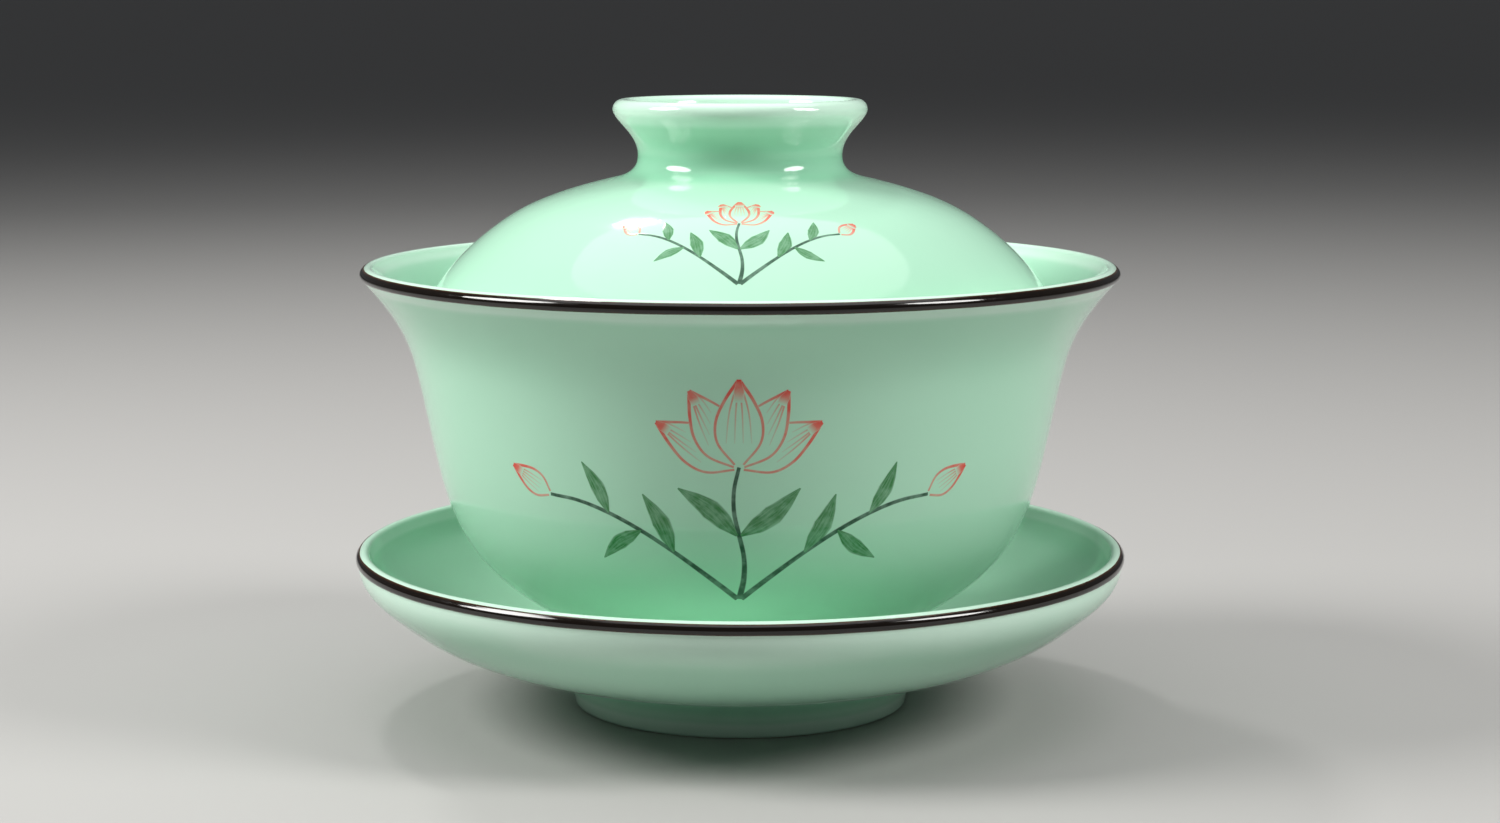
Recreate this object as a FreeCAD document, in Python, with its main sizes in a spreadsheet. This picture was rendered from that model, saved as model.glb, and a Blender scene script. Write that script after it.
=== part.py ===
import FreeCAD, Part
import math
import os
import Sketcher
from FreeCAD import Vector

# Gaiwan: a lidded porcelain tea bowl that stands on its own saucer.
# Everything is turned about the Z axis.  Z = 0 is the face that the saucer's foot ring rests on.
# Each piece is drawn in its own frame: the saucer from its foot, the bowl from its foot and the
# lid from the lowest point of its edge.  The placement of each body then stacks them.

# Driving dimensions, in millimetres, and the shapes of the curves as plain fractions.
SIZES = {
    # saucer
    "saucer_radius": 50.8,
    "saucer_shoulder": 19.85,
    "saucer_foot_radius": 22.3,
    "saucer_foot_flare": 0.5,
    "saucer_foot_width": 2.1,
    "saucer_foot_height": 4.1,
    "saucer_recess": 3.2,
    "saucer_underside": 4.9,
    "well_radius": 20.7,
    "well_floor": 6.8,
    "seat_ridge_rise": 1.5,
    "seat_ridge_width": 2.8,
    # bowl
    "bowl_radius": 49.6,
    "bowl_shoulder": 50.35,
    "bowl_foot_radius": 19.2,
    "bowl_foot_flare": 0.6,
    "bowl_foot_width": 2.0,
    "bowl_foot_height": 3.0,
    "bowl_recess": 2.8,
    "bowl_belly": 3.8,
    "bowl_floor": 6.0,
    # lid
    "lid_radius": 42.0,
    "lid_crown": 19.0,
    "lid_inner_crown": 16.8,
    "knob_base_radius": 16.4,
    "knob_bore_radius": 11.2,
    "knob_top_radius": 16.7,
    "knob_shoulder": 28.2,
    "knob_lip_width": 2.6,
    # the lip that all three pieces share, and the glaze bead fired onto it
    "lip_step": 0.1,
    "lip_rise": 1.1,
    "lip_width": 1.45,
    "lip_fall": 0.05,
    "lip_edge_radius": 0.9,
    "lip_crown_radius": 0.76,
    "bead_radius": 0.57,
    # small roundings
    "foot_round": 0.5,
    "junction_round": 0.8,
    "ridge_round": 1.7,
    "knob_lip_radius": 1.35,
    # how the pieces stand on each other
    "seat_gap": 0.2,
    "lid_seat": 44.2,
}


class Size:
    """A length: its number, and the expression that says how the sheet's cells give it."""

    def __init__(self, number, text):
        self.number = number
        self.text = text

    def __add__(self, other):
        return Size(self.number + other.number, f"({self.text} + {other.text})")

    def __sub__(self, other):
        return Size(self.number - other.number, f"({self.text} - {other.text})")

    def __mul__(self, factor):
        return Size(self.number * factor, f"({self.text}) * {factor}")


class Spot:
    """A point of an outline: its distance from the axis and its height."""

    def __init__(self, across, up):
        self.across = across
        self.up = up

    def vector(self):
        return Vector(self.across.number, self.up.number, 0)

    def moved(self, across, up):
        return Spot(self.across + across, self.up + up)

    def towards(self, end, across_part, up_part):
        """The point that lies the given parts of the way across and up to another point."""
        across = self.across + (end.across - self.across) * across_part
        up = self.up + (end.up - self.up) * up_part
        return Spot(across, up)


ZERO = Size(0.0, "0 mm")
START, END, CENTRE = 1, 2, 3
X_AXIS, Z_AXIS = -1, -2

doc = FreeCAD.newDocument("Gaiwan")
sheet = doc.addObject("Spreadsheet::Sheet", "Dims")
dim = {}
for row, (alias, value) in enumerate(SIZES.items(), start=1):
    sheet.set(f"A{row}", alias)
    sheet.set(f"B{row}", str(value))
    sheet.setAlias(f"B{row}", alias)
    dim[alias] = Size(value, f"Dims.{alias} * 1 mm")
doc.recompute()


class Outline:
    """A closed outline in the XZ plane of a body, drawn point by point and fully constrained."""

    def __init__(self, body, start):
        self.sketch = body.newObject("Sketcher::SketchObject", f"{body.Name}_outline")
        plane = [item for item in body.Origin.OriginFeatures if item.Role == "XZ_Plane"][0]
        self.sketch.AttachmentSupport = [(plane, "")]
        self.sketch.MapMode = "FlatFace"
        self.first = None
        self.last = None
        self.spot = start
        self.start = start

    def pin(self, geometry, place, spot):
        """Holds a point at its distance from the axis and its height."""
        for kind, size, axis in (("DistanceX", spot.across, Z_AXIS), ("DistanceY", spot.up, X_AXIS)):
            if size.number == 0:
                self.sketch.addConstraint(
                    Sketcher.Constraint("PointOnObject", geometry, place, axis)
                )
                continue
            index = self.sketch.addConstraint(
                Sketcher.Constraint(kind, X_AXIS, START, geometry, place, size.number)
            )
            self.sketch.setExpression(f"Constraints[{index}]", size.text)

    def join(self, geometry, first_place, last_place, spot):
        """Joins a new stretch to the outline so far and pins its far end."""
        if self.last is None:
            self.first = (geometry, first_place)
            self.pin(geometry, first_place, self.spot)
        else:
            self.sketch.addConstraint(
                Sketcher.Constraint("Coincident", *self.last, geometry, first_place)
            )
        if spot is self.start:
            self.sketch.addConstraint(
                Sketcher.Constraint("Coincident", geometry, last_place, *self.first)
            )
        else:
            self.pin(geometry, last_place, spot)
        self.last = (geometry, last_place)
        self.spot = spot

    def line(self, spot):
        segment = Part.LineSegment(self.spot.vector(), spot.vector())
        self.join(self.sketch.addGeometry(segment, False), START, END, spot)

    def arc(self, spot, radius, bulge):
        """An arc shorter than half a circle that bulges to the left or right of its way."""
        near = self.spot.vector()
        far = spot.vector()
        half = (far - near) * 0.5
        left = Vector(-half.y, half.x, 0).normalize()
        side = left if bulge == "left" else left * -1
        depth = math.sqrt(radius.number ** 2 - half.Length ** 2)
        centre = near + half - side * depth
        low, high = (far, near) if bulge == "left" else (near, far)
        angles = [math.atan2(point.y - centre.y, point.x - centre.x) for point in (low, high)]
        circle = Part.Circle(centre, Vector(0, 0, 1), radius.number)
        geometry = self.sketch.addGeometry(Part.ArcOfCircle(circle, *angles), False)
        index = self.sketch.addConstraint(Sketcher.Constraint("Radius", geometry, radius.number))
        self.sketch.setExpression(f"Constraints[{index}]", radius.text)
        places = (END, START) if bulge == "left" else (START, END)
        self.join(geometry, *places, spot)

    def curve(self, middle, spot):
        """A smooth cubic curve whose middle control points are given, up to a new point."""
        spots = [self.spot, *middle, spot]
        poles = [item.vector() for item in spots]
        spline = Part.BSplineCurve(poles, None, None, False, 3, None, False)
        geometry = self.sketch.addGeometry(spline, False)
        first_pole = None
        for index, item in enumerate(spots):
            circle = Part.Circle(item.vector(), Vector(0, 0, 1), 1.0)
            pole = self.sketch.addGeometry(circle, True)
            self.sketch.addConstraint(
                Sketcher.Constraint(
                    "InternalAlignment:Sketcher::BSplineControlPoint", pole, CENTRE, geometry, index
                )
            )
            if first_pole is None:
                first_pole = pole
                self.sketch.addConstraint(Sketcher.Constraint("Weight", pole, 1.0))
            else:
                self.sketch.addConstraint(Sketcher.Constraint("Equal", first_pole, pole))
            if item in middle:
                self.pin(pole, CENTRE, item)
        self.join(geometry, START, END, spot)

    def curve_by_parts(self, parts, spot):
        """The same, with each control point given as parts of the way across and up."""
        self.curve([self.spot.towards(spot, across, up) for across, up in parts], spot)

    def turn(self, body):
        """Turns the finished outline a full circle about the Z axis."""
        turned = body.newObject("PartDesign::Revolution", f"{body.Name}_turned")
        turned.Profile = self.sketch
        turned.ReferenceAxis = (self.sketch, ["V_Axis"])
        turned.Angle = 360
        self.sketch.Visibility = False


def new_body(name, seat=None):
    """A body named after its piece, placed at the height that the piece stands at."""
    body = doc.addObject("PartDesign::Body", name)
    body.Label = name
    body.Placement = FreeCAD.Placement()
    if seat is not None:
        body.setExpression("Placement.Base.z", seat.text)
    return body


def foot_ring(outline, prefix, belly):
    """The recess under a piece, its foot ring with rounded edges, and the neck into its belly."""
    round_off = dim["foot_round"]
    outer = dim[f"{prefix}_foot_radius"]
    inner = outer - dim[f"{prefix}_foot_width"]
    recess = dim[f"{prefix}_recess"]
    top = dim[f"{prefix}_foot_height"]
    flared = outer + dim[f"{prefix}_foot_flare"]
    outline.line(Spot(inner - round_off, recess))
    outline.line(Spot(inner, round_off))
    outline.arc(Spot(inner + round_off, ZERO), round_off, "right")
    outline.line(Spot(outer - round_off, ZERO))
    outline.arc(Spot(outer, round_off), round_off, "right")
    outline.line(Spot(flared, top))
    outline.arc(belly, dim["junction_round"], "left")


def lip(outline, shoulder, up, bulge):
    """The lip that all three pieces share, from its outer shoulder over the crown."""
    rise = dim["lip_rise"] * up
    fall = dim["lip_fall"] * -up
    crown = shoulder.moved(dim["lip_step"] * -1, rise)
    inside = crown.moved(dim["lip_width"] * -1, fall)
    outline.arc(crown, dim["lip_edge_radius"], bulge)
    outline.arc(inside, dim["lip_crown_radius"], bulge)


def rim_band(name, shoulder, up, seat=None):
    """The iron-brown glaze bead on the outside of a lip, against the clay all the way round."""
    body = new_body(name, seat)
    crown = shoulder.moved(dim["lip_step"] * -1, dim["lip_rise"] * up)
    outward, inward = ("right", "left") if up > 0 else ("left", "right")
    outline = Outline(body, shoulder)
    outline.arc(crown, dim["bead_radius"], outward)
    outline.arc(shoulder, dim["lip_edge_radius"], inward)
    outline.turn(body)
    return body


def saucer():
    """A deep dish on a foot ring, with a sunken well that takes the bowl's foot."""
    body = new_body("saucer")
    start = Spot(ZERO, dim["saucer_recess"])
    neck = dim["saucer_foot_radius"] + dim["saucer_foot_flare"]
    belly = Spot(neck + dim["junction_round"], dim["saucer_underside"])
    outline = Outline(body, start)
    foot_ring(outline, "saucer", belly)
    outline.curve_by_parts([(0.27, 0.08), (0.64, 0.29), (0.86, 0.61), (1.0, 0.82)], SAUCER_SHOULDER)
    lip(outline, SAUCER_SHOULDER, 1, "right")
    ridge_top = dim["well_floor"] + dim["seat_ridge_rise"]
    outer_ridge = Spot(dim["well_radius"] + dim["seat_ridge_width"], ridge_top)
    inner_ridge = Spot(dim["well_radius"] + dim["junction_round"] * 0.5, ridge_top)
    outline.curve_by_parts([(0.03, 0.18), (0.14, 0.36), (0.37, 0.72), (0.74, 0.97)], outer_ridge)
    outline.arc(inner_ridge, dim["ridge_round"], "right")
    outline.line(Spot(dim["well_radius"], dim["well_floor"]))
    outline.line(Spot(ZERO, dim["well_floor"]))
    outline.line(start)
    outline.turn(body)
    return body


def bowl():
    """The tea bowl: a rounded base, nearly upright sides and a rim that flares outward."""
    body = new_body("bowl", BOWL_SEAT)
    start = Spot(ZERO, dim["bowl_recess"])
    neck = dim["bowl_foot_radius"] + dim["bowl_foot_flare"]
    belly = Spot(neck + dim["junction_round"], dim["bowl_belly"])
    outline = Outline(body, start)
    foot_ring(outline, "bowl", belly)
    outline.curve_by_parts(
        [(0.22, 0.06), (0.56, 0.2), (0.69, 0.5), (0.76, 0.76), (0.835, 0.885)], BOWL_SHOULDER
    )
    lip(outline, BOWL_SHOULDER, 1, "right")
    floor = Spot(ZERO, dim["bowl_floor"])
    outline.curve_by_parts(
        [(0.12, 0.13), (0.16, 0.27), (0.21, 0.54), (0.3, 0.82), (0.54, 0.995), (0.77, 1.0)], floor
    )
    outline.line(start)
    outline.turn(body)
    return body


def lid_dome():
    """The lid: a shallow dome whose edge sits inside the bowl's flare."""
    body = new_body("lid_dome", LID_SEAT)
    start = Spot(ZERO, dim["lid_inner_crown"])
    crown = LID_SHOULDER.moved(dim["lip_step"] * -1, dim["lip_rise"] * -1)
    inside = crown.moved(dim["lip_width"] * -1, dim["lip_fall"])
    outline = Outline(body, start)
    outline.curve_by_parts([(0.29, 0.0), (0.6, 0.12), (0.77, 0.31), (0.94, 0.7)], inside)
    outline.arc(crown, dim["lip_crown_radius"], "right")
    outline.arc(LID_SHOULDER, dim["lip_edge_radius"], "right")
    base = Spot(dim["knob_base_radius"], dim["lid_crown"])
    outline.curve_by_parts([(0.075, 0.27), (0.37, 0.68), (0.64, 0.88)], base)
    outline.line(Spot(ZERO, dim["lid_crown"]))
    outline.line(start)
    outline.turn(body)
    return body


def lid_knob():
    """The ring knob, luted onto the dome: waisted outside, hollow inside, open at the top."""
    body = new_body("lid_knob", LID_SEAT)
    start = Spot(dim["knob_bore_radius"], dim["lid_crown"])
    base = Spot(dim["knob_base_radius"], dim["lid_crown"])
    shoulder = Spot(dim["knob_top_radius"], dim["knob_shoulder"])
    waist = base.towards(shoulder, 1.0, 0.0)
    outline = Outline(body, start)
    outline.line(base)
    poles = [
        waist.moved(dim["knob_lip_width"] * -1.05, dim["knob_lip_width"] * 0.22),
        waist.moved(dim["knob_lip_width"] * -1.4, dim["knob_lip_width"] * 1.08),
        waist.moved(dim["knob_lip_width"] * -1.0, dim["knob_lip_width"] * 2.23),
        waist.moved(dim["knob_lip_width"] * 0.12, dim["knob_lip_width"] * 3.2),
    ]
    outline.curve(poles, shoulder)
    inside = shoulder.moved(dim["knob_lip_width"] * -1, dim["lip_step"])
    outline.arc(inside, dim["knob_lip_radius"], "right")
    outline.curve_by_parts([(0.45, 0.3), (0.95, 0.6)], start)
    outline.turn(body)
    return body


# Where the three lips and the two seats are.
SAUCER_SHOULDER = Spot(dim["saucer_radius"], dim["saucer_shoulder"])
BOWL_SHOULDER = Spot(dim["bowl_radius"], dim["bowl_shoulder"])
LID_SHOULDER = Spot(dim["lid_radius"], dim["lip_rise"])
BOWL_SEAT = dim["well_floor"] + dim["seat_gap"]
LID_SEAT = BOWL_SEAT + dim["lid_seat"]

pieces = [
    saucer(),
    rim_band("saucer_rim_band", SAUCER_SHOULDER, 1),
    bowl(),
    rim_band("bowl_rim_band", BOWL_SHOULDER, 1, BOWL_SEAT),
    lid_dome(),
    lid_knob(),
    rim_band("lid_rim_band", LID_SHOULDER, -1, LID_SEAT),
]
doc.recompute()

for item in doc.Objects:
    if "Invalid" in item.State or "Error" in item.State:
        raise RuntimeError(f"{item.Name} failed: {item.State}")
for piece in pieces:
    if piece.Shape.isNull() or not piece.Shape.isValid():
        raise RuntimeError(f"{piece.Label} has no valid shape")

os.makedirs("parts", exist_ok=True)
for piece in pieces:
    piece.Shape.exportStep(f"parts/{piece.Label}.step")
    box = piece.Shape.BoundBox
    print(f"{piece.Label}: {piece.Shape.Volume:.0f} mm3, z {box.ZMin:.2f} to {box.ZMax:.2f},"
          f" radius {box.XMax:.2f}, solids {len(piece.Shape.Solids)}")
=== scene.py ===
"""Looks of a celadon gaiwan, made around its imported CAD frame.

The clay pieces are turned again as fine meshes from the same profiles as the CAD parts, so that the
glaze mirrors its surroundings smoothly.  The iron-brown rims and the painted sprays are thin raised
coats that follow the glaze.  Profiles are in millimetres, as (distance from the axis, height).
Angles run round the axis in degrees: 0 is the front, at -Y, and 90 is at +X.
"""
import math

import bpy
import numpy as np
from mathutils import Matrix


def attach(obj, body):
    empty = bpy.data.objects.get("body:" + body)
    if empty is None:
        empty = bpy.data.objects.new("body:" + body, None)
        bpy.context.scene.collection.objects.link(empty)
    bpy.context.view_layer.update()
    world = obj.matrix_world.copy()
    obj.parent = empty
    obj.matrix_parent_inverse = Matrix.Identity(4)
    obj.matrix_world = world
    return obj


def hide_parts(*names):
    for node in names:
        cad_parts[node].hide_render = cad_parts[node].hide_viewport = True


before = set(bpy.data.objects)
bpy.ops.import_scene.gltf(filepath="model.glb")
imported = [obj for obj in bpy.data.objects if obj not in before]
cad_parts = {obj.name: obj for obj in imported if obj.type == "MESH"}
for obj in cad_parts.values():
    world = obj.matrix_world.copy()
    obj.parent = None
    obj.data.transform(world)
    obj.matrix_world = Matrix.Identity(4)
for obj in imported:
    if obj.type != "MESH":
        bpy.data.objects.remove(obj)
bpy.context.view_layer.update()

MM = 0.001

# Profiles, in millimetres.
BOWL_SEAT = 7.0
LID_SEAT = 51.2
SAUCER_SHOULDER = (50.8, 19.85)
BOWL_SHOULDER = (49.6, BOWL_SEAT + 50.35)
LID_SHOULDER = (42.0, LID_SEAT + 1.1)
LIP_STEP = 0.1
LIP_RISE = 1.1
LIP_WIDTH = 1.45
LIP_FALL = 0.05
LIP_EDGE_RADIUS = 0.9
LIP_CROWN_RADIUS = 0.76
FOOT_ROUND = 0.5
NECK_ROUND = 0.8

AROUND = 256           # faces round each turned piece
ENAMEL = 0.03          # height of the painted enamel over the glaze
BAND = 0.17            # height of the iron-brown bead over the clay
SUNK = 0.03            # how far the hidden side of a coat lies under the glaze
DEGREE = 0.7           # millimetres in one degree round the painted part of the bowl, roughly
LID_DEGREE = 0.52      # the same on the lid

# The painted spray, in millimetres and degrees at full scale.
STEM_HEIGHT = 15.0
ARM_SPAN = 21.0
ARM_RISE = 11.0
PETAL_LENGTH = 9.5
PETAL_SPACING = 30.0
PETAL_HIDDEN = 0.7     # share of a petal's inner edge that lies behind its neighbour
BUD_LENGTH = 5.5
BUD_LEAN = 60.0
PETAL_START = 0.03     # share of a petal's length where its drawn edges begin
APART = 0.2            # how far apart strokes start that spring from one place
STEM_SWAY = 0.6
PAIR_LEAN = 50.0       # of the two leaves on the upright stem
FULL_LEAF = 8.0        # length of a leaf of full width
ARM_LEAVES = ((2, 25, 7), (3, 125, 6), (4, 25, 6))    # point of the arm, lean and length

# Widths of brush strokes in millimetres, and how fully they are painted, along each stroke.
EDGE_WIDTHS = (0.55, 0.44, 0.38, 0.34)
EDGE_PAINT = (1.0, 0.85, 0.72, 0.68)
VEIN_WIDTHS = (0.34, 0.24, 0.14)
VEIN_PAINT = (0.8, 0.5, 0.15)
WASH_WIDTHS = (0.6, 1.5, 1.3)
WASH_PAINT = (1.0, 0.85, 0.0)
LEAF_WIDTHS = (0.4, 2.2, 2.7, 1.7, 0.2)
STEM_WIDTHS = (0.9, 0.65, 0.6, 0.5)


# ---------------------------------------------------------------- profiles

def spline(poles, count):
    """Points along the clamped cubic B-spline with these control points."""
    poles = np.array(poles, float)
    spans = len(poles) - 3
    knots = np.concatenate([[0] * 3, np.arange(spans + 1), [spans] * 3])
    points = []
    for t in np.linspace(0, spans, count):
        first = min(int(t), spans - 1)
        local = poles[first:first + 4].copy()
        for level in range(1, 4):
            for j in range(3, level - 1, -1):
                low = knots[first + j]
                high = knots[first + 4 + j - level]
                part = (t - low) / (high - low)
                local[j] = (1 - part) * local[j - 1] + part * local[j]
        points.append(local[3])
    return np.array(points)


class Outline:
    """A profile that is drawn point by point, with every stretch sampled finely."""

    def __init__(self, start):
        self.points = [np.array(start, float)]
        self.marks = {}

    def mark(self, name):
        self.marks[name] = len(self.points) - 1

    def line(self, end, step=1.2):
        start, end = self.points[-1], np.array(end, float)
        count = max(1, math.ceil(np.linalg.norm(end - start) / step))
        self.points += [start + (end - start) * (i + 1) / count for i in range(count)]

    def arc(self, end, radius, bulge, count=9):
        """An arc under half a circle that bulges to the left (+1) or right (-1) of its way."""
        start, end = self.points[-1], np.array(end, float)
        half = (end - start) / 2
        left = np.array([-half[1], half[0]]) / np.linalg.norm(half)
        depth = math.sqrt(radius ** 2 - half @ half)
        centre = start + half - left * bulge * depth
        turn = 2 * math.atan2(np.linalg.norm(half), depth) * -bulge
        spoke = start - centre
        for i in range(1, count + 1):
            cos, sin = math.cos(turn * i / count), math.sin(turn * i / count)
            self.points.append(centre + np.array([[cos, -sin], [sin, cos]]) @ spoke)

    def curve(self, poles, end, step=0.55):
        poles = [self.points[-1], *[np.array(p, float) for p in poles], np.array(end, float)]
        length = sum(np.linalg.norm(b - a) for a, b in zip(poles, poles[1:]))
        self.points += list(spline(poles, math.ceil(length / step))[1:])

    def curve_by_parts(self, parts, end, step=0.55):
        """The same, with each control point given as parts of the way across and up."""
        start, end = self.points[-1], np.array(end, float)
        self.curve([start + (end - start) * np.array(part) for part in parts], end, step)


def foot_ring(outline, seat, radius, flare, width, height, recess, belly):
    """The recess under a piece and its foot ring, up to where the belly starts."""
    inner = radius - width
    outline.line((inner - FOOT_ROUND, seat + recess))
    outline.line((inner, seat + FOOT_ROUND), 0.4)
    outline.arc((inner + FOOT_ROUND, seat), FOOT_ROUND, -1)
    outline.line((radius - FOOT_ROUND, seat), 0.3)
    outline.arc((radius, seat + FOOT_ROUND), FOOT_ROUND, -1)
    outline.line((radius + flare, seat + height), 0.4)
    outline.arc(belly, NECK_ROUND, 1)


def lip(outline, shoulder):
    """The lip of the saucer and the bowl, from its outer shoulder over the crown."""
    crown = (shoulder[0] - LIP_STEP, shoulder[1] + LIP_RISE)
    outline.arc(crown, LIP_EDGE_RADIUS, -1)
    outline.mark("crown")
    outline.arc((crown[0] - LIP_WIDTH, crown[1] - LIP_FALL), LIP_CROWN_RADIUS, -1, 14)


def saucer_outline():
    outline = Outline((0, 3.2))
    foot_ring(outline, 0, 22.3, 0.5, 2.1, 4.1, 3.2, (23.6, 4.9))
    outline.mark("belly")
    outline.curve_by_parts([(0.27, 0.08), (0.64, 0.29), (0.86, 0.61), (1.0, 0.82)], SAUCER_SHOULDER)
    outline.mark("shoulder")
    lip(outline, SAUCER_SHOULDER)
    outline.curve_by_parts([(0.03, 0.18), (0.14, 0.36), (0.37, 0.72), (0.74, 0.97)], (23.5, 8.3))
    outline.arc((21.1, 8.3), 1.7, -1)
    outline.line((20.7, 6.8), 0.3)
    outline.line((0, 6.8))
    return outline


def bowl_outline():
    outline = Outline((0, BOWL_SEAT + 2.8))
    foot_ring(outline, BOWL_SEAT, 19.2, 0.6, 2.0, 3.0, 2.8, (20.6, BOWL_SEAT + 3.8))
    outline.mark("belly")
    outline.curve_by_parts(
        [(0.22, 0.06), (0.56, 0.2), (0.69, 0.5), (0.76, 0.76), (0.835, 0.885)], BOWL_SHOULDER
    )
    outline.mark("shoulder")
    lip(outline, BOWL_SHOULDER)
    outline.curve_by_parts(
        [(0.12, 0.13), (0.16, 0.27), (0.21, 0.54), (0.3, 0.82), (0.54, 0.995), (0.77, 1.0)],
        (0, BOWL_SEAT + 6.0),
    )
    return outline


def lid_outline():
    """The dome with the ring knob luted onto it, as one glazed skin."""
    crown = (LID_SHOULDER[0] - LIP_STEP, LID_SHOULDER[1] - LIP_RISE)
    inside = (crown[0] - LIP_WIDTH, crown[1] + LIP_FALL)
    top = LID_SEAT + 19.0
    outline = Outline((0, LID_SEAT + 16.8))
    outline.curve_by_parts([(0.29, 0.0), (0.6, 0.12), (0.77, 0.31), (0.94, 0.7)], inside)
    outline.arc(crown, LIP_CROWN_RADIUS, -1, 14)
    outline.mark("crown")
    outline.arc(LID_SHOULDER, LIP_EDGE_RADIUS, -1)
    outline.mark("shoulder")
    outline.curve_by_parts([(0.075, 0.27), (0.37, 0.68), (0.64, 0.88)], (16.4, top))
    outline.mark("knob")
    shoulder = (16.7, LID_SEAT + 28.2)
    outline.curve(
        [(13.97, top + 0.57), (13.06, top + 2.81), (14.1, top + 5.8), (17.01, top + 8.32)],
        shoulder,
    )
    outline.arc((14.1, shoulder[1] + 0.1), 1.35, -1, 20)
    outline.curve_by_parts([(0.45, 0.3), (0.95, 0.6)], (11.2, top + 0.7))
    outline.arc((10.5, top), 0.72, 1)
    outline.line((0, top))
    return outline


# ---------------------------------------------------------------- meshes

def new_mesh(name, vertices, faces, values):
    """A smooth-shaded object from points in millimetres, with one float attribute per entry."""
    mesh = bpy.data.meshes.new(name)
    mesh.from_pydata([tuple(v) for v in np.asarray(vertices) * MM], [], faces)
    for key, numbers in values.items():
        layer = mesh.attributes.new(key, "FLOAT", "POINT")
        layer.data.foreach_set("value", np.asarray(numbers, np.float32))
    mesh.shade_smooth()
    piece = bpy.data.objects.new(name, mesh)
    bpy.context.scene.collection.objects.link(piece)
    return piece


def pooling(points, spread=1.3):
    """How much glaze gathers along a profile: above 0 in hollows, below 0 on ridges and lips."""
    steps = np.linalg.norm(np.diff(points, axis=0), axis=1)
    along = np.concatenate([[0], np.cumsum(steps)])
    heading = np.unwrap(np.arctan2(*np.diff(points, axis=0).T[::-1]))
    turns = np.zeros(len(points))
    turns[1:-1] = -np.diff(heading)
    gathered = np.exp(-((along[:, None] - along[None, :]) / spread) ** 2 / 2) @ turns
    return np.clip(gathered, -1.2, 1.2)


def lathe(name, outline, material, body, nodes, seat=None):
    """A solid turned about Z from a profile that starts and ends on the axis."""
    points = np.array(outline.points)
    middle = points[1:-1]
    angles = np.arange(AROUND) * 2 * math.pi / AROUND
    rings = np.stack(
        [
            np.outer(middle[:, 0], np.sin(angles)),
            -np.outer(middle[:, 0], np.cos(angles)),
            np.repeat(middle[:, 1:], AROUND, axis=1),
        ],
        axis=-1,
    ).reshape(-1, 3)
    vertices = np.concatenate([rings, [[0, 0, points[0, 1]], [0, 0, points[-1, 1]]]])
    first, last = len(rings), len(rings) + 1
    faces = []
    for i in range(AROUND):
        j = (i + 1) % AROUND
        faces.append((first, j, i))
        for row in range(len(middle) - 1):
            a = row * AROUND
            faces.append((a + i, a + j, a + AROUND + j, a + AROUND + i))
        top = (len(middle) - 1) * AROUND
        faces.append((last, top + i, top + j))
    pool = pooling(points)
    height = middle[:, 1] - seat if seat is not None else np.full(len(middle), 9.0)
    values = {
        "pool": np.concatenate([np.repeat(pool[1:-1], AROUND), [pool[0], pool[-1]]]),
        "foot": np.concatenate([np.repeat(height, AROUND), [9.0, 9.0]]),
    }
    piece = new_mesh(name, vertices, faces, values)
    piece.data.materials.append(material)
    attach(piece, body)
    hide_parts(*nodes)
    return piece


class Skin:
    """A stretch of a turned piece's surface, to lay coats on.

    A place on it is an angle and a distance along the profile, in millimetres.
    """

    def __init__(self, outline, first=None, last=None):
        begin = outline.marks.get(first, 0)
        end = outline.marks.get(last, len(outline.points) - 1)
        self.points = np.array(outline.points[begin:end + 1])
        steps = np.linalg.norm(np.diff(self.points, axis=0), axis=1)
        self.along = np.concatenate([[0], np.cumsum(steps)])
        slopes = np.gradient(self.points, self.along, axis=0)
        self.normals = np.stack([slopes[:, 1], -slopes[:, 0]], -1)
        self.normals /= np.linalg.norm(self.normals, axis=1)[:, None]
        self.pool = pooling(np.array(outline.points))[begin:end + 1]

    def read(self, column, along):
        return np.interp(along, self.along, column)

    def at_height(self, height):
        """Distance along a profile that climbs."""
        return np.interp(height, self.points[:, 1], self.along)

    def at_radius(self, radius):
        """Distance along a profile that closes in."""
        return np.interp(radius, self.points[::-1, 0], self.along[::-1])

    def place(self, angle, along, lift):
        """Points this far over the surface."""
        turn = np.radians(angle)
        radius = self.read(self.points[:, 0], along) + self.read(self.normals[:, 0], along) * lift
        height = self.read(self.points[:, 1], along) + self.read(self.normals[:, 1], along) * lift
        return np.stack([radius * np.sin(turn), -radius * np.cos(turn), height], -1)


def through(path, between=10):
    """A smooth curve through every place of a path (Catmull-Rom)."""
    ends = np.vstack([2 * path[0] - path[1], path, 2 * path[-1] - path[-2]])
    curve = []
    for a, b, c, d in zip(ends, ends[1:], ends[2:], ends[3:]):
        for t in np.arange(between) / between:
            bend = 2 * a - 5 * b + 4 * c - d + t * (3 * (b - c) + d - a)
            curve.append(b + 0.5 * t * (c - a + t * bend))
    return np.array(curve + [path[-1]])


def eased(values, count):
    """Given values, spread evenly over this many points."""
    values = np.atleast_1d(values)
    return np.interp(np.linspace(0, 1, count), np.linspace(0, 1, len(values)), values)


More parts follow.
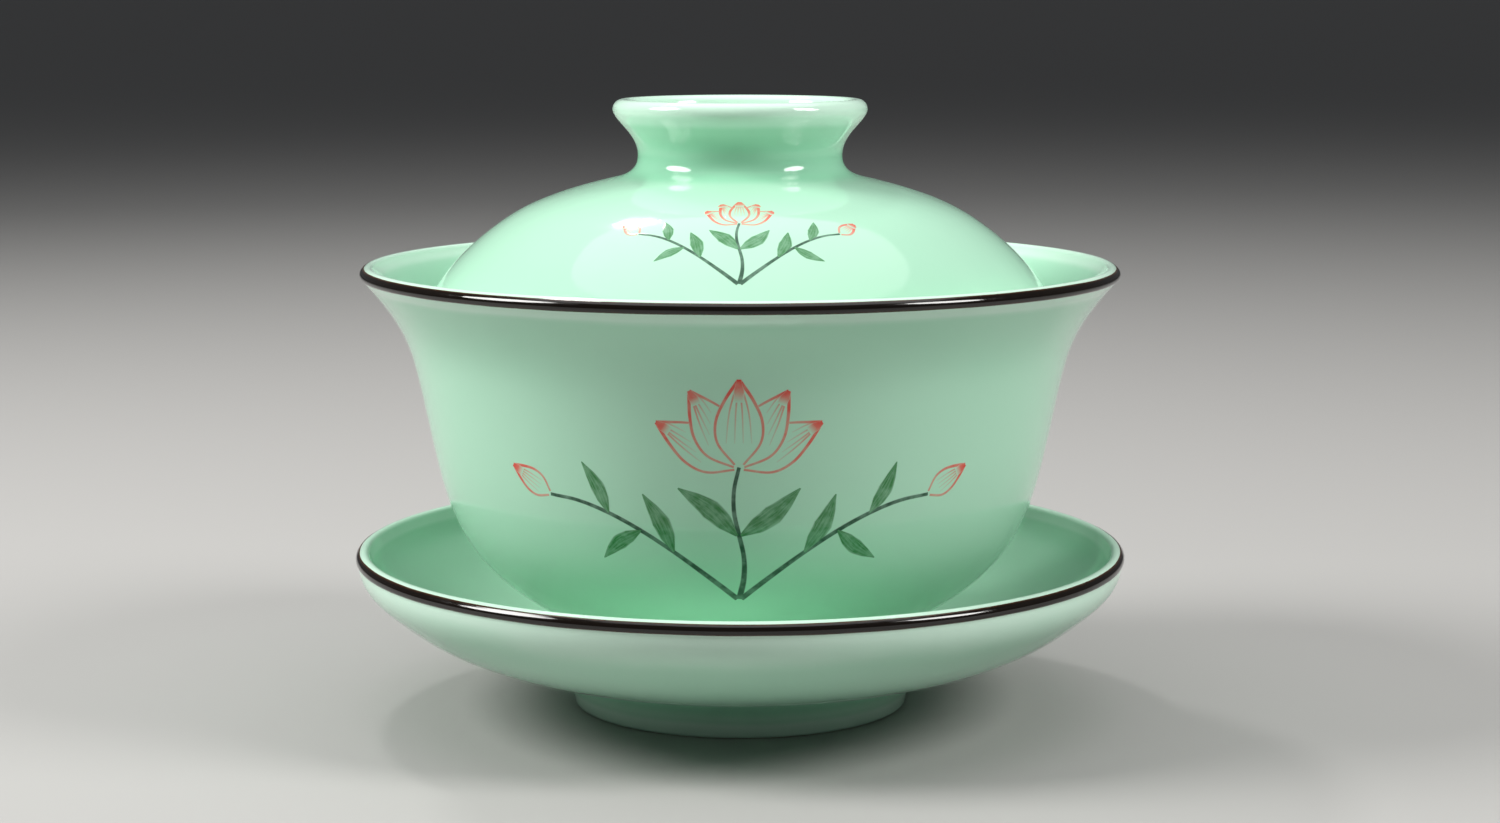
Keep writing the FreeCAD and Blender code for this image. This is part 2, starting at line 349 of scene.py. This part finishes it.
class Brush:
    """Lays coats on one skin and makes them into one piece.

    Paths are drawn as (angle, reach): reach is a height on the bowl and a distance from the
    axis on the lid, and find turns it into a distance along the profile.
    """

    def __init__(self, skin, find=None):
        self.skin = skin
        self.find = find
        self.vertices = []
        self.faces = []
        self.values = {"pool": [], "paint": [], "across": [], "along": []}

    def coat(self, angle, along, width, paint, lift, edge=0.0, closed=False, across=7):
        """One closed ribbon with a rounded top, laid along a middle line."""
        count = len(angle)
        radius = self.skin.read(self.skin.points[:, 0], along)
        east = np.ones(count) if closed else np.gradient(np.radians(angle)) * radius
        north = np.zeros(count) if closed else np.gradient(along)
        length = np.maximum(np.hypot(east, north), 1e-9)
        sides = np.linspace(-1, 1, across)
        rows = []
        for side in sides:
            shift = side * width / 2
            rise = edge + (lift - edge) * math.sqrt(max(0.0, 1 - side ** 2))
            turned = angle - np.degrees(north / length * shift / radius)
            rows.append(self.skin.place(turned, along + east / length * shift, rise))
        rows.append(self.skin.place(angle, along, -SUNK))
        ring = across + 1
        start = sum(len(rows_before) for rows_before in self.vertices)
        self.vertices.append(np.stack(rows, 1).reshape(-1, 3))
        self.values["pool"] += list(np.repeat(self.skin.read(self.skin.pool, along), ring))
        self.values["paint"] += list(np.repeat(paint, ring))
        self.values["across"] += list(np.tile(np.append(sides, 0.0), count))
        self.values["along"] += list(np.repeat(np.cumsum(length), ring))
        for i in range(count if closed else count - 1):
            a = start + i * ring
            b = start + (i + 1) % count * ring
            for k in range(ring):
                n = (k + 1) % ring
                self.faces.append((a + k, b + k, b + n, a + n))
        if not closed:
            end = start + (count - 1) * ring
            self.faces.append(tuple(start + k for k in range(ring)))
            self.faces.append(tuple(end + k for k in reversed(range(ring))))

    def stroke(self, path, widths, paint=1.0, step=0.3):
        """A brush stroke through given places, its width and paint eased along it."""
        drawn = through(np.array(path, float))
        length = np.hypot(np.diff(drawn[:, 0]) * DEGREE, np.diff(drawn[:, 1])).sum()
        count = max(7, math.ceil(length / step))
        angle = eased(drawn[:, 0], count)
        along = self.find(eased(drawn[:, 1], count))
        width = eased(widths, count)
        lift = (ENAMEL * np.clip(width, 0.25, 1.0)).mean()
        self.coat(angle, along, width, eased(paint, count), lift)

    def finish(self, name, material, body, slot, nodes=()):
        piece = new_mesh(name, np.concatenate(self.vertices), self.faces, self.values)
        piece.data.set_sharp_from_angle(angle=math.radians(50))
        piece.data.materials.append(material)
        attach(piece, body)
        if nodes:
            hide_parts(*nodes)


# ---------------------------------------------------------------- rims

def rim(name, skin, lower, upper, body, node, material, seed):
    """The iron-brown bead round a lip, its edges a little uneven as dipped glaze is."""
    angle = np.arange(AROUND) * 360 / AROUND
    turn = np.radians(angle)
    wander = sum(np.sin(n * turn + seed * n) / n ** 0.5 for n in (3, 7, 13, 29))
    swell = sum(np.sin(n * turn + seed * n) / n ** 0.5 for n in (5, 9, 17, 31))
    middle = (lower + upper) / 2 + 0.035 * wander
    width = upper - lower + 0.05 * swell
    brush = Brush(skin)
    brush.coat(angle, middle, width, np.ones(AROUND), BAND, -SUNK, closed=True, across=15)
    brush.finish(name, material, body, "iron_brown_glaze", [node])


def rims(saucer, bowl, lid):
    iron = rim_material()
    over = 0.36
    for name, outline, body, seed in (("saucer", saucer, "saucer", 1.3), ("bowl", bowl, "bowl", 2.1)):
        skin = Skin(outline)
        lower = skin.along[outline.marks["shoulder"]]
        upper = skin.along[outline.marks["crown"]] + over
        rim(name + "_rim", skin, lower, upper, body, name + "_rim_band", iron, seed)
    skin = Skin(lid)
    lower = skin.along[lid.marks["crown"]] - over
    rim("lid_rim", skin, lower, skin.along[lid.marks["shoulder"]], "lid", "lid_rim_band", iron, 0.7)


# ---------------------------------------------------------------- painting

def petal(brush, tip, one_edge, other_edge):
    """A petal's two edges from its tip, fine veins that fan from the tip, and a deep wash there."""
    for edge in (one_edge, other_edge):
        begin = tip + (edge[0] - tip) * 0.03
        brush.stroke([begin, *edge], EDGE_WIDTHS, EDGE_PAINT)
    one = one_edge[len(one_edge) // 2]
    other = other_edge[len(other_edge) // 2]
    for share in (0.2, 0.4, 0.6, 0.8):
        end = one + (other - one) * share
        bowed = tip + (end - tip) * 0.5 + (one - other) * (0.5 - share) * 0.22
        begin = tip + (bowed - tip) * 0.06
        brush.stroke([begin, bowed, end], VEIN_WIDTHS, VEIN_PAINT)
    heart = tip + ((one + other) / 2 - tip) * 0.36
    brush.stroke([tip, (tip + heart) / 2, heart], WASH_WIDTHS, WASH_PAINT)


def turned(points, degrees):
    """Points leant about the origin, clockwise from upright."""
    lean = math.radians(degrees)
    cos, sin = math.cos(lean), math.sin(lean)
    return np.asarray(points, float) @ np.array([[cos, -sin], [sin, cos]])


def petal_edge(length, half_width, side, start):
    """One edge of a pointed petal that stands on the origin, from its tip down towards its root."""
    t = np.linspace(1, start, 5)
    return np.stack([side * half_width * np.sin(math.pi * t ** 0.8), length * t], -1)


class Spray:
    """A plain flower spray, drawn by rule in millimetres up from its foot.

    It is alike on both sides but for the sway of its upright stem.
    """

    def __init__(self, skin, find, foot, upward, degree, scale):
        self.flower = Brush(skin, find)
        self.stems = Brush(skin, find)
        self.leaves = Brush(skin, find)
        self.foot = foot
        self.across = scale / degree
        self.up = scale * upward
        self.weight = math.sqrt(scale)

    def place(self, points):
        points = np.asarray(points, float)
        return np.stack([points[:, 0] * self.across, self.foot + points[:, 1] * self.up], -1)

    def petal(self, root, lean, length, half_width, starts=(PETAL_START, PETAL_START)):
        left, right = (
            self.place(root + turned(petal_edge(length, half_width, side, start), lean))
            for side, start in zip((-1, 1), starts)
        )
        petal(self.flower, left[0], left[1:], right[1:])

    def blossom(self, root):
        """Five equal petals, evenly fanned, each partly behind the one nearer the middle."""
        for away in range(-2, 3):
            starts = [PETAL_HIDDEN if away * side < 0 else PETAL_START for side in (-1, 1)]
            self.petal(root, away * PETAL_SPACING, PETAL_LENGTH, PETAL_LENGTH / 4, starts)

    def leaf(self, root, lean, length):
        middle = turned([(0, 0), (length * 0.05, length * 0.5), (0, length)], lean)
        widths = np.array(LEAF_WIDTHS) * self.weight * length / FULL_LEAF
        self.leaves.stroke(self.place(root + middle), widths)

    def stem(self, points):
        self.stems.stroke(self.place(points), np.array(STEM_WIDTHS) * self.weight)

    def draw(self):
        share = np.linspace(0, 1, 7)
        upright = np.stack([STEM_SWAY * np.sin(2 * math.pi * share), STEM_HEIGHT * share], -1)
        rise = ARM_RISE * np.sin(math.pi / 2 * share)
        self.stem(upright)
        self.blossom(upright[-1])
        for side in (-1, 1):
            beside = np.array((side * APART, 0))
            self.leaf(upright[3] + beside, side * PAIR_LEAN, FULL_LEAF)
            arm = np.stack([side * ARM_SPAN * share, rise], -1) + beside
            self.stem(arm)
            self.petal(arm[-1], side * BUD_LEAN, BUD_LENGTH, BUD_LENGTH / 4)
            for point, lean, length in ARM_LEAVES:
                self.leaf(arm[point], side * lean, length)

    def finish(self, body, red, dark, leaf):
        for name, brush, material in (("flower", self.flower, red), ("leaf", self.leaves, leaf),
                                      ("stems", self.stems, dark)):
            brush.finish(body + "_painted_" + name, material, body, "celadon_glaze")


def paint_bowl(outline, enamels):
    skin = Skin(outline, "belly", "shoulder")
    spray = Spray(skin, skin.at_height, foot=21.0, upward=1, degree=DEGREE, scale=1.15)
    spray.draw()
    spray.finish("bowl", *enamels)


def paint_lid(outline, enamels):
    skin = Skin(outline, "shoulder", "knob")
    spray = Spray(skin, skin.at_radius, foot=37.0, upward=-1, degree=LID_DEGREE, scale=0.58)
    spray.draw()
    spray.finish("lid", *enamels)


# ---------------------------------------------------------------- materials

class Nodes:
    """A short way to write a node tree."""

    def __init__(self, name):
        self.material = bpy.data.materials.new(name)
        self.material.use_nodes = True
        self.tree = self.material.node_tree
        self.shader = self.tree.nodes["Principled BSDF"]

    def add(self, kind, **settings):
        node = self.tree.nodes.new(kind)
        for key, value in settings.items():
            setattr(node, key, value)
        return node

    def feed(self, socket, value):
        if isinstance(value, bpy.types.NodeSocket):
            self.tree.links.new(value, socket)
        else:
            socket.default_value = value

    def attribute(self, name):
        return self.add("ShaderNodeAttribute", attribute_name=name).outputs["Fac"]

    def coordinates(self):
        return self.add("ShaderNodeTexCoord").outputs["Object"]

    def noise(self, vector, scale, detail=2.0, roughness=0.5):
        node = self.add("ShaderNodeTexNoise")
        self.feed(node.inputs["Vector"], vector)
        self.feed(node.inputs["Scale"], scale)
        self.feed(node.inputs["Detail"], detail)
        self.feed(node.inputs["Roughness"], roughness)
        return node.outputs["Fac"]

    def math(self, operation, *values):
        node = self.add("ShaderNodeMath", operation=operation)
        for socket, value in zip(node.inputs, values):
            self.feed(socket, value)
        return node.outputs[0]

    def ramp(self, value, low, high, to_low=0.0, to_high=1.0):
        node = self.add("ShaderNodeMapRange", interpolation_type="SMOOTHSTEP")
        for key, number in zip(("Value", "From Min", "From Max", "To Min", "To Max"),
                               (value, low, high, to_low, to_high)):
            self.feed(node.inputs[key], number)
        return node.outputs["Result"]

    def mix(self, factor, first, second):
        node = self.add("ShaderNodeMix", data_type="RGBA")
        self.feed(node.inputs[0], factor)
        self.feed(node.inputs[6], first)
        self.feed(node.inputs[7], second)
        return node.outputs[2]

    def bump(self, height, distance, normal=None):
        node = self.add("ShaderNodeBump")
        self.feed(node.inputs["Height"], height)
        self.feed(node.inputs["Distance"], distance)
        if normal is not None:
            self.feed(node.inputs["Normal"], normal)
        return node.outputs["Normal"]


GLAZE_THIN = (0.60, 0.83, 0.69, 1)
GLAZE = (0.43, 0.735, 0.55, 1)
GLAZE_DEEP = (0.31, 0.66, 0.45, 1)
CLAY = (0.62, 0.58, 0.50, 1)
SPECK = (0.11, 0.09, 0.045, 1)


def iron_specks(nodes, where):
    """Rare specks of iron in the clay, a quarter of a millimetre across, that show through."""
    cells = nodes.add("ShaderNodeTexVoronoi")
    nodes.feed(cells.inputs["Vector"], where)
    nodes.feed(cells.inputs["Scale"], 210.0)
    red = nodes.add("ShaderNodeSeparateColor")
    nodes.feed(red.inputs[0], cells.outputs["Color"])
    chosen = nodes.ramp(red.outputs[0], 0.93, 0.94)
    spot = nodes.ramp(cells.outputs["Distance"], 0.034, 0.014)
    return nodes.math("MULTIPLY", nodes.math("MULTIPLY", chosen, spot), 0.6)


def glaze_colour(nodes):
    """The celadon's colour: whiter where it runs thin, greener where it pools, softly clouded."""
    where = nodes.coordinates()
    cloud = nodes.math("SUBTRACT", nodes.noise(where, 45.0, 3.0), 0.5)
    pool = nodes.math("MULTIPLY_ADD", cloud, 0.5, nodes.attribute("pool"))
    thin = nodes.ramp(pool, -0.08, -0.75)
    deep = nodes.ramp(pool, 0.05, 0.9)
    colour = nodes.mix(thin, GLAZE, GLAZE_THIN)
    return nodes.mix(deep, colour, GLAZE_DEEP), where


def glaze_material():
    nodes = Nodes("celadon")
    colour, where = glaze_colour(nodes)
    colour = nodes.mix(iron_specks(nodes, where), colour, SPECK)
    ragged = nodes.math("MULTIPLY_ADD", nodes.noise(where, 900.0, 2.0), 0.3, nodes.attribute("foot"))
    bare = nodes.ramp(ragged, 0.32, 0.2)
    grain = nodes.noise(where, 2500.0, 4.0)
    nodes.feed(nodes.shader.inputs["Base Color"], nodes.mix(bare, colour, CLAY))
    mottled = nodes.ramp(nodes.noise(where, 260.0, 3.0), 0.3, 0.75, 0.05, 0.11)
    nodes.feed(nodes.shader.inputs["Roughness"], nodes.math("MULTIPLY_ADD", bare, 0.7, mottled))
    ripple = nodes.bump(nodes.noise(where, 150.0, 2.0), 0.00003)
    peel = nodes.bump(nodes.noise(where, 900.0, 1.0), 0.0000025, ripple)
    rough_clay = nodes.math("MULTIPLY", grain, bare)
    nodes.feed(nodes.shader.inputs["Normal"], nodes.bump(rough_clay, 0.00003, peel))
    nodes.shader.inputs["IOR"].default_value = 1.52
    return nodes.material


def paint_material(name, pigment, streaks=0.0, soft=0.35):
    """Overglaze enamel: full colour in the stroke, streaked by the brush, thinning to the glaze."""
    nodes = Nodes(name)
    colour, where = glaze_colour(nodes)
    across = nodes.attribute("across")
    edge = nodes.ramp(nodes.math("ABSOLUTE", across), 1.0, 1.0 - soft)
    hairs = nodes.add("ShaderNodeCombineXYZ")
    nodes.feed(hairs.inputs[0], nodes.math("MULTIPLY", across, 5.0))
    nodes.feed(hairs.inputs[1], nodes.math("MULTIPLY", nodes.attribute("along"), 0.35))
    hair = nodes.ramp(nodes.noise(hairs.outputs[0], 1.0, 3.0, 0.6), 0.35, 0.62)
    kept = nodes.math("SUBTRACT", 1.0, nodes.math("MULTIPLY", nodes.math("SUBTRACT", 1.0, hair), streaks))
    density = nodes.math("MULTIPLY", nodes.math("MULTIPLY", edge, kept), nodes.attribute("paint"))
    cloud = nodes.ramp(nodes.noise(where, 700.0, 3.0), 0.3, 0.65, 0.78, 1.0)
    density = nodes.math("MULTIPLY", density, cloud)
    nodes.feed(nodes.shader.inputs["Base Color"], nodes.mix(density, colour, pigment))
    nodes.shader.inputs["Roughness"].default_value = 0.14
    nodes.shader.inputs["IOR"].default_value = 1.52
    return nodes.material


def rim_material():
    """Iron-brown glaze: nearly black in the bead, warm brown where its edges run thin."""
    nodes = Nodes("iron_brown")
    where = nodes.coordinates()
    edge = nodes.math("ABSOLUTE", nodes.attribute("across"))
    wander = nodes.math("SUBTRACT", nodes.noise(where, 1200.0, 3.0), 0.5)
    ragged = nodes.math("MULTIPLY_ADD", wander, 0.3, edge)
    thin = nodes.ramp(ragged, 0.55, 1.0)
    colour = nodes.mix(thin, (0.006, 0.0035, 0.002, 1), (0.085, 0.035, 0.014, 1))
    nodes.feed(nodes.shader.inputs["Base Color"], colour)
    mottled = nodes.ramp(nodes.noise(where, 500.0, 3.0), 0.3, 0.7, 0.06, 0.14)
    nodes.feed(nodes.shader.inputs["Roughness"], mottled)
    nodes.feed(nodes.shader.inputs["Normal"], nodes.bump(nodes.noise(where, 300.0, 2.0), 0.00002))
    nodes.shader.inputs["IOR"].default_value = 1.55
    return nodes.material


# ---------------------------------------------------------------- the stage

def make_camera():
    data = bpy.data.cameras.new("camera")
    data.sensor_width = 36.0
    data.lens = 69.2
    data.clip_start = 0.01
    camera = bpy.data.objects.new("camera", data)
    camera.location = (0.0013, -0.380, 0.0941)
    camera.rotation_euler = (math.radians(90 - 8.25), 0, 0)
    bpy.context.scene.collection.objects.link(camera)
    bpy.context.scene.camera = camera


def make_floor():
    half = 60.0
    corners = [(-half, -half, 0), (half, -half, 0), (half, half, 0), (-half, half, 0)]
    mesh = bpy.data.meshes.new("floor")
    mesh.from_pydata(corners, [], [(0, 1, 2, 3)])
    floor = bpy.data.objects.new("floor", mesh)
    bpy.context.scene.collection.objects.link(floor)
    nodes = Nodes("pale_floor")
    nodes.shader.inputs["Base Color"].default_value = (0.39, 0.385, 0.375, 1)
    nodes.shader.inputs["Roughness"].default_value = 0.7
    mesh.materials.append(nodes.material)


def area_light(name, azimuth, elevation, distance, size, power, spread, colour=(1, 1, 1)):
    """A soft box that faces the middle of the set.  Azimuth 0 is the camera's side."""
    data = bpy.data.lights.new(name, "AREA")
    data.shape = "ELLIPSE"
    data.size, data.size_y = size
    data.energy = power
    data.spread = math.radians(spread)
    data.color = colour
    light = bpy.data.objects.new(name, data)
    a, e = math.radians(azimuth), math.radians(elevation)
    away = np.array([math.sin(a) * math.cos(e), -math.cos(a) * math.cos(e), math.sin(e)])
    light.location = away * distance + np.array([0, 0, 0.04])
    light.rotation_euler = (math.pi / 2 - e, 0, a)
    bpy.context.scene.collection.objects.link(light)


def make_lights():
    area_light("top_box", 180, 84, 0.9, (1.3, 1.1), 3.5, 150)
    area_light("left_box", -82, 37, 0.8, (0.38, 0.40), 3.6, 130, (1, 0.99, 0.97))
    area_light("right_box", 70, 37, 0.85, (0.30, 0.40), 2.7, 130, (1, 0.99, 0.97))
    area_light("back_box", -156, 52, 0.9, (0.10, 0.08), 0.7, 130, (1, 0.99, 0.97))
    world = bpy.data.worlds.new("studio")
    world.use_nodes = True
    background = world.node_tree.nodes["Background"]
    background.inputs["Color"].default_value = (0.92, 0.95, 1.0, 1)
    background.inputs["Strength"].default_value = 0.08
    bpy.context.scene.world = world


make_camera()
make_floor()
make_lights()
bpy.context.scene.view_settings.view_transform = "Standard"

celadon = glaze_material()
saucer = saucer_outline()
bowl = bowl_outline()
lid = lid_outline()
lathe("saucer_glazed", saucer, celadon, "saucer", ["saucer"], 0)
lathe("bowl_glazed", bowl, celadon, "bowl", ["bowl"], BOWL_SEAT)
lathe("lid_glazed", lid, celadon, "lid", ["lid_dome", "lid_knob"])
rims(saucer, bowl, lid)

red = paint_material("red_enamel", (0.70, 0.022, 0.008, 1))
dark = paint_material("dark_enamel", (0.003, 0.062, 0.026, 1))
leaf = paint_material("leaf_enamel", (0.012, 0.175, 0.030, 1), 0.22, 0.2)
paint_bowl(bowl, (red, dark, leaf))
paint_lid(lid, (red, dark, leaf))
